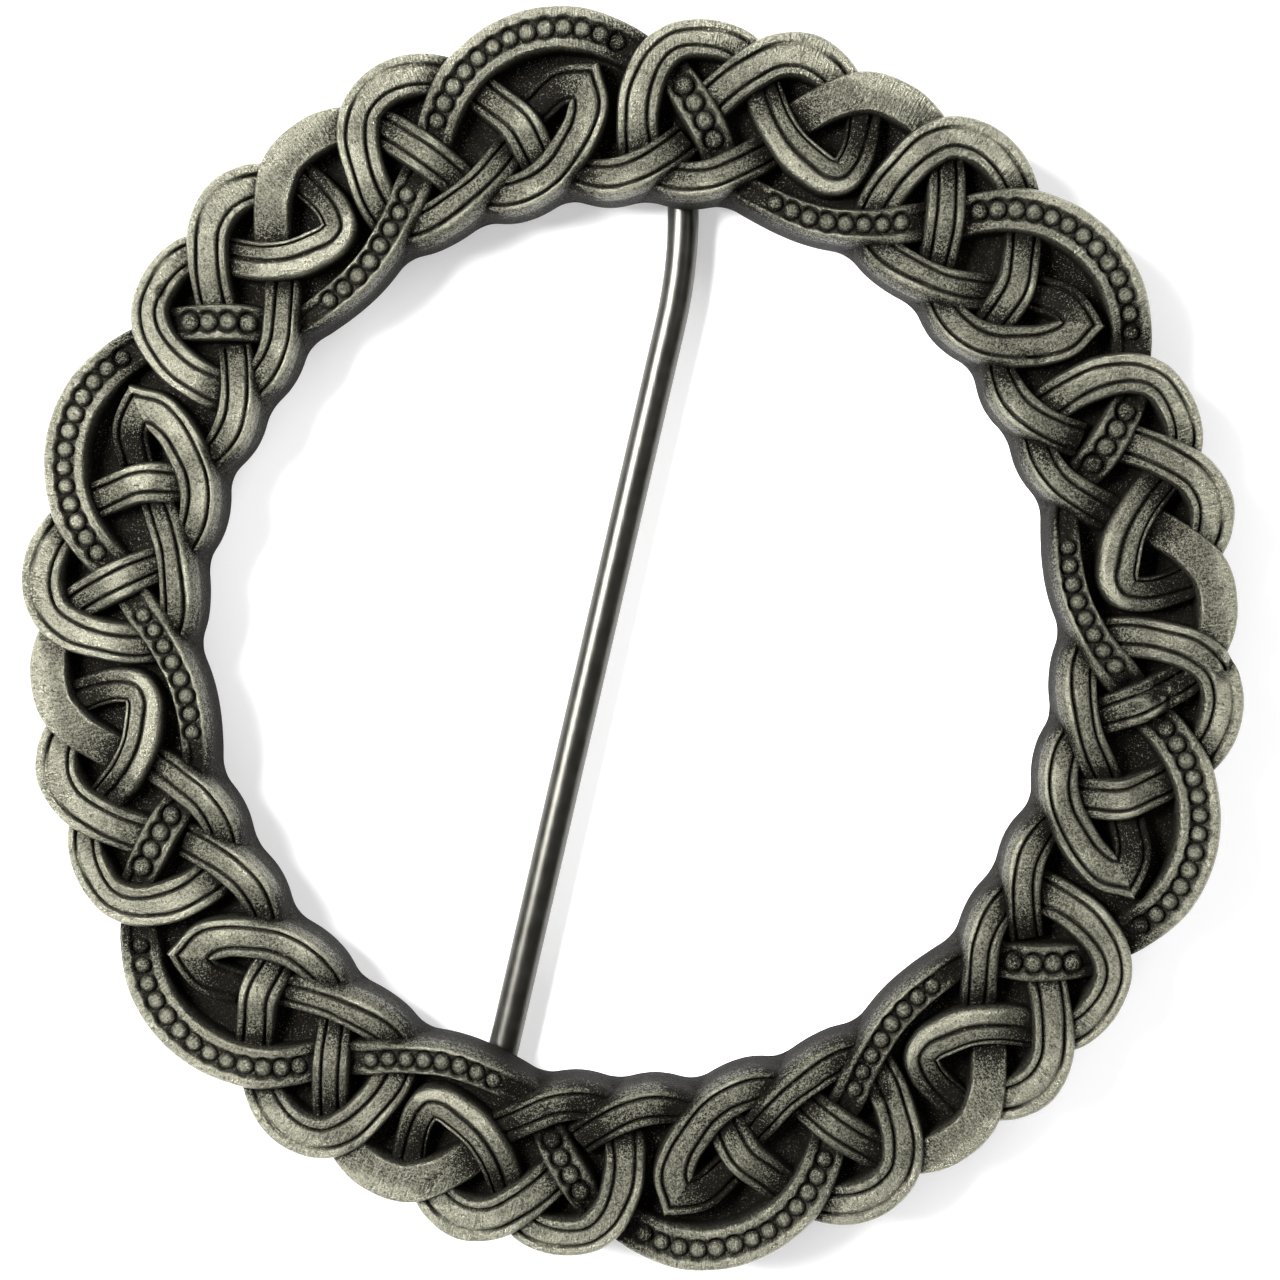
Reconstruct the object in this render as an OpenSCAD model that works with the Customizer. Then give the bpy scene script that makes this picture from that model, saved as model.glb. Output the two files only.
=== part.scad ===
// Plaid brooch: an open cast ring of knotwork in relief, worn with a steel pin across its centre.
// Millimetres. The brooch lies on its back: +Z is up out of the relief, +Y is its top edge.
// The knot is one unit of 60 degrees, repeated six times. Its bands pass over and under in turn.

/* [Ring] */
// Overall width of the ring, left to right
ring_w = 85; // [80:0.5:90]
// Overall height of the ring, top to bottom
ring_l = 88; // [82:0.5:92]
// Thickness from the plain back to the highest loops
ring_t = 4.2; // [3.8:0.1:5]
// Height of the solid floor between the bands, above the back
floor_t = 1.9; // [1.2:0.1:2.4]
// Outward slope of the cast side walls, from the top edge to the back
draft = 0.35; // [0.1:0.05:0.6]
// Number of times the knot unit repeats round the ring
repeats = 6; // [6]

/* [Bands] */
// How far a band sinks where it passes under another
dip = 1.1; // [0.6:0.1:1.5]
// Height of the rounding along each edge of a band
edge_round = 0.35; // [0.2:0.05:0.6]
// Depth of the channel that holds the beads
channel = 0.5; // [0.3:0.05:0.8]
// Diameter of one bead
bead_d = 1.05; // [0.8:0.05:1.2]
// Spacing of the beads on the long outer band
bead_pitch = 1.3; // [1.1:0.05:1.6]
// Steps of each band between two rows of its table
steps = 1; // [1:3]

/* [Pin] */
// Diameter of the pin wire
wire_d = 2.2; // [1.8:0.1:2.4]
// Clearance between the pin wire and the back of the ring
wire_gap = 0.35; // [0.3:0.05:0.6]
// Lean of the straight stretch of the pin to the ring's height
pin_lean = 13; // [8:0.5:16]
// Radius of the bend below the hinge
bend_r = 35; // [25:1:45]
// Length of the tapered point
point_l = 7; // [4:0.5:10]
// Outer diameter of the eye that turns on the rivet
eye_d = 3.2; // [3:0.1:3.4]
// Height above the ring's centre where the lines of the pin's two straight stretches cross
bend_y = 26.3; // [22:0.1:28]

/* [Hinge and catch] */
// Height of the pin's axis above the surface that the brooch lies on
axis_z = 1.85; // [1.75:0.05:2.2]
// Distance of the rivet to the right of the ring's centre
hinge_x = 3.65; // [2:0.05:5]
// Distance of the rivet above the ring's centre
hinge_y = 36.5; // [35:0.5:38]
// Diameter of the rivet
rivet_d = 1.3; // [1.1:0.1:1.5]
// Gap between the two lugs
lug_gap = 2.7; // [2.6:0.1:3]
// Thickness of the left lug
lug_left_t = 2.4; // [2:0.1:3]
// Thickness of the right lug
lug_right_t = 3.0; // [2.4:0.1:3.4]
// Distance of the catch below the ring's centre
catch_y = 35; // [34:0.5:36]
// Length of the catch along the pin
catch_l = 3.6; // [2.5:0.1:5]
// Slot between the prongs of the catch
catch_gap = 2.8; // [2.6:0.1:3.2]
// Thickness of the catch's left prong
prong_left_t = 1.5; // [1.2:0.1:2]
// Thickness of the catch's right prong
prong_right_t = 2.4; // [1.5:0.1:3]

/* [Hidden] */
pewter = "#8d8a79";
steel = "#c4c3bf";
fit = 0.05;
unit_a = 360 / repeats;
back_z = axis_z + wire_d / 2 + wire_gap;
floor_in = 31.3;
floor_out = 41.3;
bend_t = bend_r * tan(pin_lean / 2);

// Each row of a band: angle clockwise in the unit, distance from the centre, width, sink (0 to 1).
// The loop that climbs the left of the unit, over the top and down.
LOOP_A = [[1.0, 33.2, 2.8, 1], [0.6, 35.4, 2.8, 0.2], [1.1, 38.0, 2.8, 0], [2.2, 39.7, 2.7, 0],
    [4.0, 40.9, 2.4, 0], [7.2, 41.45, 2.3, 0], [10.2, 41.2, 2.4, 0.4], [12.8, 39.7, 2.6, 1]];
// The band that rises from the centre of the unit over loop A.
LOOP_B = [[6.8, 35.9, 2.6, 1], [8.9, 37.8, 2.7, 0.5], [11.6, 39.8, 2.7, 0], [14.2, 41.25, 2.7, 0],
    [16.8, 41.75, 2.8, 0], [19.4, 41.35, 2.8, 0.3], [22.4, 39.7, 2.6, 1]];
// The smooth band that rises over the start of loop F.
LOOP_C = [[16.4, 36.6, 2.4, 1], [18.1, 37.9, 2.5, 0.6], [20.9, 39.8, 2.5, 0], [23.6, 41.0, 2.5, 0],
    [26.5, 41.3, 2.5, 0], [29.6, 41.05, 2.4, 0.4], [32.6, 39.9, 2.4, 1]];
// The short pointed loop under loop C.
LOOP_F = [[12.9, 39.4, 2.5, 1], [14.2, 38.0, 2.6, 0.6], [15.8, 36.7, 2.6, 0.1], [18.0, 35.6, 2.6, 0],
    [20.6, 35.0, 2.6, 0], [23.2, 34.8, 2.4, 0], [24.4, 35.15, 2.3, 0.12], [24.9, 36.1, 2.4, 0.35],
    [24.7, 38.0, 2.4, 0.85], [24.0, 39.7, 2.4, 1]];
// The short beaded strap inside loop A.
STRAP_H = [[3.9, 39.4, 2.3, 1], [6.2, 37.4, 2.4, 0.2], [8.4, 35.6, 2.5, 0.2], [10.6, 33.6, 2.4, 1]];
// The inner band that rises from the unit before.
BAND_I = [[-8.5, 32.9, 2.4, 1], [-6.0, 32.15, 2.5, 0.8], [-2.6, 31.75, 2.7, 0.2], [1.2, 32.3, 2.7, 0],
    [4.0, 33.4, 2.5, 0.3], [6.2, 34.7, 2.4, 1]];
// The inner band that rises to loop F.
BAND_G = [[0.4, 33.2, 2.3, 1], [3.0, 32.1, 2.5, 0.9], [6.0, 31.75, 2.6, 0.45], [9.4, 32.15, 2.6, 0],
    [12.6, 33.4, 2.5, 0.1], [15.5, 35.1, 2.5, 1]];
// The long beaded band along the inner edge.
BAND_J = [[11.2, 33.0, 2.1, 1], [13.8, 32.1, 2.1, 0.9], [17.5, 31.6, 2.1, 0.3], [21.5, 31.5, 2.2, 0.1],
    [25.0, 31.8, 2.25, 0], [28.0, 32.45, 2.3, 0], [31.0, 33.4, 2.4, 0], [33.6, 34.65, 2.5, 0.1],
    [35.6, 35.8, 2.5, 1]];
// The straight strap that comes down from loop C.
STRAP_K = [[32.6, 40.4, 2.5, 1], [34.6, 38.6, 2.6, 0.6], [36.6, 36.6, 2.6, 0], [38.6, 34.5, 2.6, 0.6],
    [40.0, 33.0, 2.5, 1]];
// The tall loop on the right of loop C.
LOOP_D = [[29.8, 33.3, 2.8, 1], [29.6, 35.0, 2.8, 0.4], [30.1, 37.5, 2.8, 0], [31.1, 39.6, 2.8, 0],
    [32.6, 41.0, 2.7, 0], [35.4, 41.85, 2.7, 0], [38.6, 41.75, 2.7, 0.2], [41.0, 41.1, 2.6, 0.8],
    [42.6, 40.2, 2.5, 1]];
// The long beaded loop along the outer edge.
LOOP_E = [[37.2, 36.4, 2.6, 1], [39.4, 38.3, 2.7, 0.4], [42.4, 40.2, 2.8, 0], [46.0, 41.55, 2.8, 0],
    [49.6, 42.2, 2.8, 0], [53.2, 42.2, 2.8, 0], [56.6, 41.6, 2.7, 0.3], [59.2, 40.8, 2.6, 0.9],
    [61.0, 40.1, 2.5, 1]];
// The strap that comes down inside loop E.
STRAP_M = [[43.6, 39.9, 2.5, 1], [45.6, 38.15, 2.6, 0.5], [47.6, 36.3, 2.7, 0], [48.6, 34.4, 2.7, 0.4],
    [49.3, 32.6, 2.5, 1]];
// The inner band that leads to loop N.
BAND_L = [[29.5, 32.9, 2.4, 1], [32.0, 32.25, 2.6, 0.6], [37.0, 32.2, 2.7, 0],
    [42.6, 33.4, 2.5, 0], [44.9, 34.4, 2.4, 0.5], [46.6, 35.3, 2.3, 1]];
// The long pointed loop, along the inner edge and back under strap M.
LOOP_N = [[39.6, 33.2, 2.4, 1], [41.6, 32.4, 2.5, 0.9], [44.2, 31.85, 2.6, 0.4], [47.2, 31.9, 2.7, 0],
    [50.2, 32.6, 2.7, 0], [53.0, 34.15, 2.7, 0], [55.0, 36.1, 2.7, 0], [55.8, 37.6, 2.7, 0],
    [55.0, 38.5, 2.7, 0.1], [52.8, 38.3, 2.6, 0.5], [49.4, 37.2, 2.5, 1]];

// Cross-sections of a band: share of the half width, height below the band's top.
PLAIN = [[-1, edge_round], [0, 0], [1, edge_round]];
BEADED = [[-1, 0.1], [0, channel], [1, 0.1]];

// A table row turned into x, y, width and height of the band's top.
function spot(q) = [q[1] * sin(q[0]), q[1] * cos(q[0]), q[2], ring_t - dip * q[3]];
function spots(rows) = [for (q = rows) spot(q)];

// A smooth curve through the rows, in all four columns.
function blend(a, b, c, d, f) = 0.5 * (2 * b + (c - a) * f + (2 * a - 5 * b + 4 * c - d) * f * f
    + (3 * b - a - 3 * c + d) * f * f * f);
function curve(p, n) = [for (i = [0:len(p) - 2]) for (k = [0:n - 1])
    blend(p[max(i - 1, 0)], p[i], p[i + 1], p[min(i + 2, len(p) - 1)], k / n), p[len(p) - 1]];

// The unit vector across the curve, to its left.
function across(c, i) = let (a = c[max(i - 1, 0)], b = c[min(i + 1, len(c) - 1)], x = b[0] - a[0],
    y = b[1] - a[1]) [-y, x] / norm([x, y]);

// The point at a signed distance across the curve from its centre.
function aside(c, i, d) = [c[i][0] + d * across(c, i)[0], c[i][1] + d * across(c, i)[1]];

// Half the width of a band at its foot, on the back.
function foot(c, i) = c[i][2] / 2 + draft;

// One ring of points of a band, from its left foot over the top to its right foot.
function section(c, i, profile) = concat(
    [[each aside(c, i, -foot(c, i)), 0]],
    [for (q = profile) [each aside(c, i, c[i][2] / 2 * q[0]), c[i][3] - q[1]]],
    [[each aside(c, i, foot(c, i)), 0]]);

// A closed body swept through the rows of a table.
module band(rows, profile) {
    c = curve(spots(rows), steps);
    m = len(profile) + 2;
    n = len(c);
    points = [for (i = [0:n - 1]) each section(c, i, profile)];
    sides = [for (i = [0:n - 2]) for (k = [0:m - 1])
        [i * m + k, i * m + (k + 1) % m, (i + 1) * m + (k + 1) % m, (i + 1) * m + k]];
    start = [for (k = [m - 1:-1:0]) k];
    end = [for (k = [0:m - 1]) (n - 1) * m + k];
    polyhedron(points, concat(sides, [start, end]), convexity = 6);
}

// Length along a curve up to each of its points.
function lengths(c, i = 0, s = 0) = i == len(c) - 1 ? [s] :
    concat([s], lengths(c, i + 1, s + norm([c[i + 1][0] - c[i][0], c[i + 1][1] - c[i][1]])));

// Beads along a band, from one distance to another.
module beads(rows, first, pitch, count) {
    c = curve(spots(rows), 4);
    s = lengths(c);
    function at(d, column) = lookup(d, [for (i = [0:len(c) - 1]) [s[i], c[i][column]]]);
    for (i = [0:count - 1]) {
        d = first + i * pitch;
        translate([at(d, 0), at(d, 1), at(d, 3) - channel - 0.1])
            cylinder(h = channel + 0.25, d1 = bead_d, d2 = 0, $fn = 4);
    }
}

PLAIN_BANDS = [LOOP_A, LOOP_B, LOOP_C, LOOP_F, BAND_I, BAND_G, STRAP_K, LOOP_D, STRAP_M, BAND_L, LOOP_N];
BEADED_BANDS = [STRAP_H, BAND_J, LOOP_E];

module unit() {
    for (rows = PLAIN_BANDS)
        band(rows, PLAIN);
    for (rows = BEADED_BANDS)
        band(rows, BEADED);
    beads(LOOP_E, 2.3, bead_pitch, 13);
    beads(BAND_J, 4.1, bead_pitch, 8);
    beads(STRAP_H, 1.65, 1.35, 4);
}

// The whole cast relief on its solid floor, drawn to the ring's overall size.
module relief() {
    resize([ring_w, ring_l, ring_t]) {
        for (k = [0:repeats - 1])
            rotate(-unit_a * k) unit();
        linear_extrude(floor_t) difference() {
            circle(floor_out, $fn = 48);
            circle(floor_in, $fn = 48);
        }
    }
}

// Turns a shape that is drawn along Z to lie along X, at the rivet.
module on_rivet() {
    translate([hinge_x, hinge_y, axis_z]) rotate([0, 90, 0]) children();
}

// One hinge lug, from the left x to its right, sunk into the back of the ring.
module lug(x, t) {
    difference() {
        union() {
            on_rivet() translate([0, 0, x]) cylinder(h = t, r = axis_z, $fn = 64);
            translate([hinge_x + x, hinge_y - axis_z, axis_z]) cube([t, 2 * axis_z, back_z - axis_z + 0.8]);
        }
        on_rivet() translate([0, 0, x - 1]) cylinder(h = t + 2, d = rivet_d + 2 * fit, $fn = 48);
    }
}

// Where the centre of the pin wire runs at a distance y above the ring's centre, below the bend.
function pin_x(y) = hinge_x - (bend_y - y) * tan(pin_lean);

// The catch: a short cast fork that the pin lies in, open away from the ring.
module catch_fork() {
    wide = catch_gap + prong_left_t + prong_right_t;
    translate([pin_x(-catch_y), -catch_y, 0]) rotate(-pin_lean) difference() {
        translate([-catch_gap / 2 - prong_left_t, -catch_l / 2, 0]) cube([wide, catch_l, back_z + 0.8]);
        translate([-catch_gap / 2, -catch_l, -1]) cube([catch_gap, 2 * catch_l, back_z + 1]);
    }
}

module knot_ring() {
    color(pewter) {
        difference() {
            translate([0, 0, back_z]) relief();
            on_rivet() translate([0, 0, -lug_gap / 2]) cylinder(h = lug_gap, d = eye_d + 0.7, $fn = 64);
        }
        lug(-lug_gap / 2 - lug_left_t, lug_left_t);
        lug(lug_gap / 2, lug_right_t);
        catch_fork();
    }
}

// The pin: an eye, a straight neck, a wide bend, the long straight wire and its point.
module pin() {
    eye_w = lug_gap - 0.4;
    neck_l = hinge_y - bend_y - bend_t;
    far_y = -catch_y - 3.2;
    start_x = pin_x(bend_y - bend_t * cos(pin_lean));
    start_y = bend_y - bend_t * cos(pin_lean);
    wire_l = (start_y - far_y) / cos(pin_lean) - point_l;
    color(steel) difference() {
        union() {
            on_rivet() translate([0, 0, -eye_w / 2]) cylinder(h = eye_w, d = eye_d, $fn = 64);
            translate([hinge_x, hinge_y, axis_z]) rotate([90, 0, 0])
                cylinder(h = neck_l, d = wire_d, $fn = 48);
            translate([hinge_x - bend_r, bend_y + bend_t, axis_z]) rotate(-pin_lean)
                rotate_extrude(angle = pin_lean, $fn = 360)
                    translate([bend_r, 0]) circle(d = wire_d, $fn = 48);
            translate([hinge_x, bend_y + bend_t, axis_z]) rotate([90, 0, 0])
                sphere(d = wire_d + 0.04, $fn = 48);
            translate([start_x, start_y, axis_z]) rotate([90, 0, -pin_lean]) {
                sphere(d = wire_d + 0.04, $fn = 48);
                cylinder(h = wire_l, d = wire_d, $fn = 48);
                translate([0, 0, wire_l]) cylinder(h = point_l, d1 = wire_d, d2 = 0.5, $fn = 48);
            }
        }
        on_rivet() translate([0, 0, -eye_w]) cylinder(h = 2 * eye_w, d = rivet_d + 0.2, $fn = 48);
    }
}

// The rivet through both lugs, with a flat head at each end.
module hinge_rivet() {
    head_t = 0.4;
    left = -lug_gap / 2 - lug_left_t;
    right = lug_gap / 2 + lug_right_t;
    color(steel) on_rivet() {
        translate([0, 0, left - fit]) cylinder(h = right - left + 2 * fit, d = rivet_d, $fn = 48);
        translate([0, 0, left - fit - head_t]) cylinder(h = head_t, d = rivet_d + 0.8, $fn = 48);
        translate([0, 0, right + fit]) cylinder(h = head_t, d = rivet_d + 0.8, $fn = 48);
    }
}

knot_ring();
pin();
hinge_rivet();
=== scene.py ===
"""A plaid brooch: an open ring of cast pewter knotwork, with a steel pin behind its open centre.

The brooch lies on its back. Lengths are millimetres unless a comment says otherwise, angles round the
ring are degrees clockwise from its top, and the meshes are made in metres.
"""

import math

import bpy
import numpy as np
from mathutils import Matrix, Vector


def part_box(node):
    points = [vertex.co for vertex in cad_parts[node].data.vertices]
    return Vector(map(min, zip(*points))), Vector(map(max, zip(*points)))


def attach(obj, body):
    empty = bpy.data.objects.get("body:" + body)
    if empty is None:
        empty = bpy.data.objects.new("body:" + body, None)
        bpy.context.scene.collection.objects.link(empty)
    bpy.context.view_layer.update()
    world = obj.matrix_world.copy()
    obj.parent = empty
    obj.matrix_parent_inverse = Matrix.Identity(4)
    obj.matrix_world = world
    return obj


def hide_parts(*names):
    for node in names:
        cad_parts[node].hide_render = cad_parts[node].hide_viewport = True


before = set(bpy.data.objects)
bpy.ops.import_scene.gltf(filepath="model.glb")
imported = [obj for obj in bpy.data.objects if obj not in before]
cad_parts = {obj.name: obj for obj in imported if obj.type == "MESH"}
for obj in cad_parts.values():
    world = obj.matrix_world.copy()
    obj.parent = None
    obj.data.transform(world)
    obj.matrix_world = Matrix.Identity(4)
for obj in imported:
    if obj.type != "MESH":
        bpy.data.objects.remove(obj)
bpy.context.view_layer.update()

MM = 0.001

UNITS = 6  # the knot repeats this many times round the ring
UNIT_ANGLE = 360 / UNITS
BACK_Z = 3.3  # height of the plain back above the surface that the brooch lies on
BACK_IN = 0.02  # how far its cast sheet lies above that
RING_T = 4.2  # from the back to the highest loops
FLOOR_T = 1.9  # the floor between the bands, above the back
FLOOR_IN, FLOOR_OUT = 31.6, 41.0  # distances of its edges, hidden in the bands, from the centre
DIP = 1.15  # how far a band sinks where it passes under another
DRAFT = 0.35  # outward slope of the side walls, from the top edge to the back
OUTER_EDGE = 0.15  # how much of it the outermost edges already have at their top
FOOT_TUCK = 0.12  # how far the walls turn in again at the back
PACE = 0.18  # length of one step along a band
BEAD_PACE = 0.11  # and along a beaded one

HINGE = (3.65, 36.5, 1.85)  # the middle of the rivet, and with it the height of the pin's axis
RIVET_D = 1.3
RIVET_PLAY = 0.05  # between its heads and the lugs
RIVET_HEAD = [(0, 1.05), (0.14, 1.02), (0.26, 0.86), (0.35, 0.56), (0.4, 0.2)]  # distance out, radius
LUG_GAP = 2.7
LUG_PLAY = 0.05  # round the rivet
LUGS = {"left": 2.4, "right": 3.0}  # their thickness along the rivet
BORE_BEVEL = 0.12
EYE_D = 3.2
EYE_BORE_PLAY = 0.1  # round the rivet
EYE_PLAY = 0.2  # on each side, between the lugs
EYE_HOLLOW, EYE_HOLLOW_HALF = 0.45, 2.2  # depth and half length of the hollow in the back above the eye
WIRE_D = 2.2
WIRE_FROM = 1.1  # the wire starts this far from the rivet's axis
EYE_SWELL = 0.16  # how much thicker its radius is there
SWELL_ALONG = (2.6, 0.3)  # distances along it between which it swells
PIN_LEAN = 13  # degrees, below the bend
BEND_R = 35
BEND_Y = 26.3  # where the lines of the pin's two straight stretches cross
PIN_END_Y = -38.2
POINT_L = 7.0
POINT_TAPER = 0.77  # share of the wire's thickness that is ground off at the point
TIP_ROUND = 0.45  # share that the very tip keeps of the rest
CATCH_Y = -35.0
CATCH_L = 3.6
CATCH_GAP = 2.8
PRONGS = {"left": (-1, 1.5), "right": (1, 2.4)}  # side and thickness
PRONG_ROUND = 0.5  # radius of their corners
SUNK_IN = 0.7  # how far the lugs and the prongs reach into the ring
PRONG_PROFILE = [(0, 0.3), (0.04, 0.18), (0.13, 0.07), (0.32, 0), (1.6, 0), (BACK_Z, 0),
                 (BACK_Z + SUNK_IN, 0)]  # height, and how far the outline is drawn in there

# In metres and watts: place, width and power of each lamp, which all look at the ring's centre.
LAMPS = {
    "key": ((-0.2, 0.08, 0.27), 0.14, 4.3),
    "fill": ((0.45, 0.4, 0.42), 0.5, 4.2),
    "low": ((0.1, -0.6, 0.35), 0.5, 2.5),
}
CAMERA_SIDE = (0.033, 0.05, 1)  # direction from the ring to the camera
CAMERA_DISTANCE = 0.2  # metres

# Every band of the knot: its section, and rows of angle clockwise in the unit (degrees),
# distance from the ring's centre, width, and sink (0 on top, 1 where it passes under).
BANDS = {
    "A": ("ribbed", [
        (1.0, 33.2, 2.8, 1), (0.6, 35.4, 2.8, 0.2), (1.1, 38.0, 2.8, 0), (2.2, 39.7, 2.7, 0),
        (4.0, 40.9, 2.4, 0), (7.2, 41.45, 2.3, 0), (10.2, 41.2, 2.4, 0.4), (12.8, 39.7, 2.6, 1)]),
    "B": ("ribbed", [
        (6.8, 35.9, 2.6, 1), (8.9, 37.8, 2.7, 0.5), (11.6, 39.8, 2.7, 0), (14.2, 41.25, 2.7, 0),
        (16.8, 41.75, 2.8, 0), (19.4, 41.35, 2.8, 0.3), (22.4, 39.7, 2.6, 1)]),
    "C": ("smooth", [
        (16.4, 36.6, 2.4, 1), (18.1, 37.9, 2.5, 0.6), (20.9, 39.8, 2.5, 0), (23.6, 41.0, 2.5, 0),
        (26.5, 41.3, 2.5, 0), (29.6, 41.05, 2.4, 0.4), (32.6, 39.9, 2.4, 1)]),
    "F": ("ribbed", [
        (12.9, 39.4, 2.5, 1), (14.2, 38.0, 2.6, 0.6), (15.8, 36.7, 2.6, 0.1), (18.0, 35.6, 2.6, 0),
        (20.6, 35.0, 2.6, 0), (23.2, 34.8, 2.4, 0), (24.4, 35.15, 2.3, 0.12), (24.9, 36.1, 2.4, 0.35),
        (24.7, 38.0, 2.4, 0.85), (24.0, 39.7, 2.4, 1)]),
    "H": ("beaded", [
        (3.9, 39.4, 2.3, 1), (6.2, 37.4, 2.4, 0.2), (8.4, 35.6, 2.5, 0.2), (10.6, 33.6, 2.4, 1)]),
    "I": ("ribbed", [
        (-8.5, 32.9, 2.4, 1), (-6.0, 32.15, 2.5, 0.8), (-2.6, 31.75, 2.7, 0.2), (1.2, 32.3, 2.7, 0),
        (4.0, 33.4, 2.5, 0.3), (6.2, 34.7, 2.4, 1)]),
    "G": ("ribbed", [
        (0.4, 33.2, 2.3, 1), (3.0, 32.1, 2.5, 0.9), (6.0, 31.75, 2.6, 0.45), (9.4, 32.15, 2.6, 0),
        (12.6, 33.4, 2.5, 0.1), (15.5, 35.1, 2.5, 1)]),
    "J": ("beaded", [
        (11.2, 33.0, 2.1, 1), (13.8, 32.1, 2.1, 0.9), (17.5, 31.6, 2.1, 0.3), (21.5, 31.5, 2.2, 0.1),
        (25.0, 31.8, 2.25, 0), (28.0, 32.45, 2.3, 0), (31.0, 33.4, 2.4, 0), (33.6, 34.65, 2.5, 0.1),
        (35.6, 35.8, 2.5, 1)]),
    "K": ("ribbed", [
        (32.6, 40.4, 2.5, 1), (34.6, 38.6, 2.6, 0.6), (36.6, 36.6, 2.6, 0), (38.6, 34.5, 2.6, 0.6),
        (40.0, 33.0, 2.5, 1)]),
    "D": ("ribbed", [
        (29.8, 33.3, 2.8, 1), (29.6, 35.0, 2.8, 0.4), (30.1, 37.5, 2.8, 0), (31.1, 39.6, 2.8, 0),
        (32.6, 41.0, 2.7, 0), (35.4, 41.85, 2.7, 0), (38.6, 41.75, 2.7, 0.2), (41.0, 41.1, 2.6, 0.8),
        (42.6, 40.2, 2.5, 1)]),
    "E": ("beaded", [
        (37.2, 36.4, 2.6, 1), (39.4, 38.3, 2.7, 0.4), (42.4, 40.2, 2.8, 0), (46.0, 41.55, 2.8, 0),
        (49.6, 42.2, 2.8, 0), (53.2, 42.2, 2.8, 0), (56.6, 41.6, 2.7, 0.3), (59.2, 40.8, 2.6, 0.9),
        (61.0, 40.1, 2.5, 1)]),
    "M": ("ribbed", [
        (43.6, 39.9, 2.5, 1), (45.6, 38.15, 2.6, 0.5), (47.6, 36.3, 2.7, 0), (48.6, 34.4, 2.7, 0.4),
        (49.3, 32.6, 2.5, 1)]),
    "L": ("ribbed", [
        (29.5, 32.9, 2.4, 1), (32.0, 32.25, 2.6, 0.6), (37.0, 32.2, 2.7, 0),
        (42.6, 33.4, 2.5, 0), (44.9, 34.4, 2.4, 0.5), (46.6, 35.3, 2.3, 1)]),
    "N": ("ribbed", [
        (39.6, 33.2, 2.4, 1), (41.6, 32.4, 2.5, 0.9), (44.2, 31.85, 2.6, 0.4), (47.2, 31.9, 2.7, 0),
        (50.2, 32.6, 2.7, 0), (53.0, 34.15, 2.7, 0), (54.7, 35.7, 2.75, 0), (55.35, 37.0, 2.75, 0),
        (55.0, 38.28, 2.7, 0), (54.4, 40.1, 2.6, 0)]),
    "O": ("ribbed", [
        (57.9, 38.0, 2.6, 0), (55.0, 38.28, 2.7, 0), (52.9, 38.35, 2.6, 0.35), (49.4, 37.2, 2.5, 1)]),
}

# The point of the leaf-shaped loop: its bands N and O meet on the line from its inner corner to
# its tip (angle and distance, as above).
LEAF_CORNER = (53.3, 37.0)
LEAF_TIP = (56.6, 39.6)
MITRE_L = 4.2  # length along the bands that is drawn back to that line

# The beads of each beaded band: distance of the first along the band, pitch, count, diameter,
# and how far their row lies to the left of the band's middle.
BEADS = {
    "E": (2.3, 1.275, 13, 1.2, 0.05),
    "J": (4.15, 1.32, 8, 1.16, 0.16),
    "H": (1.6, 1.37, 4, 1.34, 0.04),
}
BEAD_STRAY = 0.03  # how far a bead strays from its row
BEAD_VARIES = 0.05  # and how much its size varies, as a share
BEAD_RISE = 0.52  # height of its dome
BEAD_SET = 0.03  # how deep it is set in the bottom of its pocket
POCKET = 1.28  # diameter of a bead's round pocket, for each millimetre of the bead
POCKET_SIDE = (0.16, 0.1)  # how far the pocket's side reaches in and out from there
POCKET_DEPTH = 0.52

# Where the two grooves of a ribbed band run, as shares of its half width from its left edge (1) to
# its right (-1): at the band's start, middle and end.
GROOVES = {
    "A": ((0.62, 0.42, 0.55), (-0.62, -0.34, -0.6)), "B": ((0.75, 0.5, 0.42), (-0.5, -0.57, -0.62)),
    "D": ((0.62, 0.5, 0.45), (-0.3, -0.42, -0.55)), "K": ((0.5, 0.5, 0.5), (-0.45, -0.45, -0.45)),
    "M": ((0.62, 0.55, 0.5), (-0.6, -0.52, -0.4)), "L": ((0.68, 0.66, 0.46), (-0.34, -0.22, -0.42)),
    "N": ((0.7, 0.44, 0.78), (-0.46, -0.55, -0.62)), "O": ((0.78, 0.74, 0.7), (-0.62, -0.6, -0.6)),
    "I": ((0.6, 0.55, 0.65), (-0.34, -0.45, -0.58)), "G": ((0.8, 0.48, 0.3), (-0.45, -0.47, -0.62)),
    "F": ((0.72, 0.8, 0.82), (0.08, 0.0, -0.36)),
}
GROOVE_SWAY = 0.02  # how far a groove sways from that, as a share

# Where a section has its points, as shares of the half width. A ribbed section is drawn with its two
# grooves at EVEN, and then shifted to where they really run.
EVEN = 0.44
RIB_POINTS = [0, 0.13, 0.25, 0.33, 0.375, 0.405, 0.44, 0.475, 0.505, 0.55, 0.62, 0.72, 0.81, 0.88, 0.93,
              0.97, 1.0]
BEAD_POINTS = [0, 0.08, 0.16, 0.24, 0.31, 0.37, 0.42, 0.46, 0.5, 0.54, 0.59, 0.65, 0.73, 0.81, 0.88, 0.94,
               1.0]
WALL_LEVELS = [0.8, 0.55, 0.3, 0.12, 0.03]  # where a wall has its points, as shares of its height
SECTION_POINTS = 2 * len(RIB_POINTS) - 1 + 2 * len(WALL_LEVELS)

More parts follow.
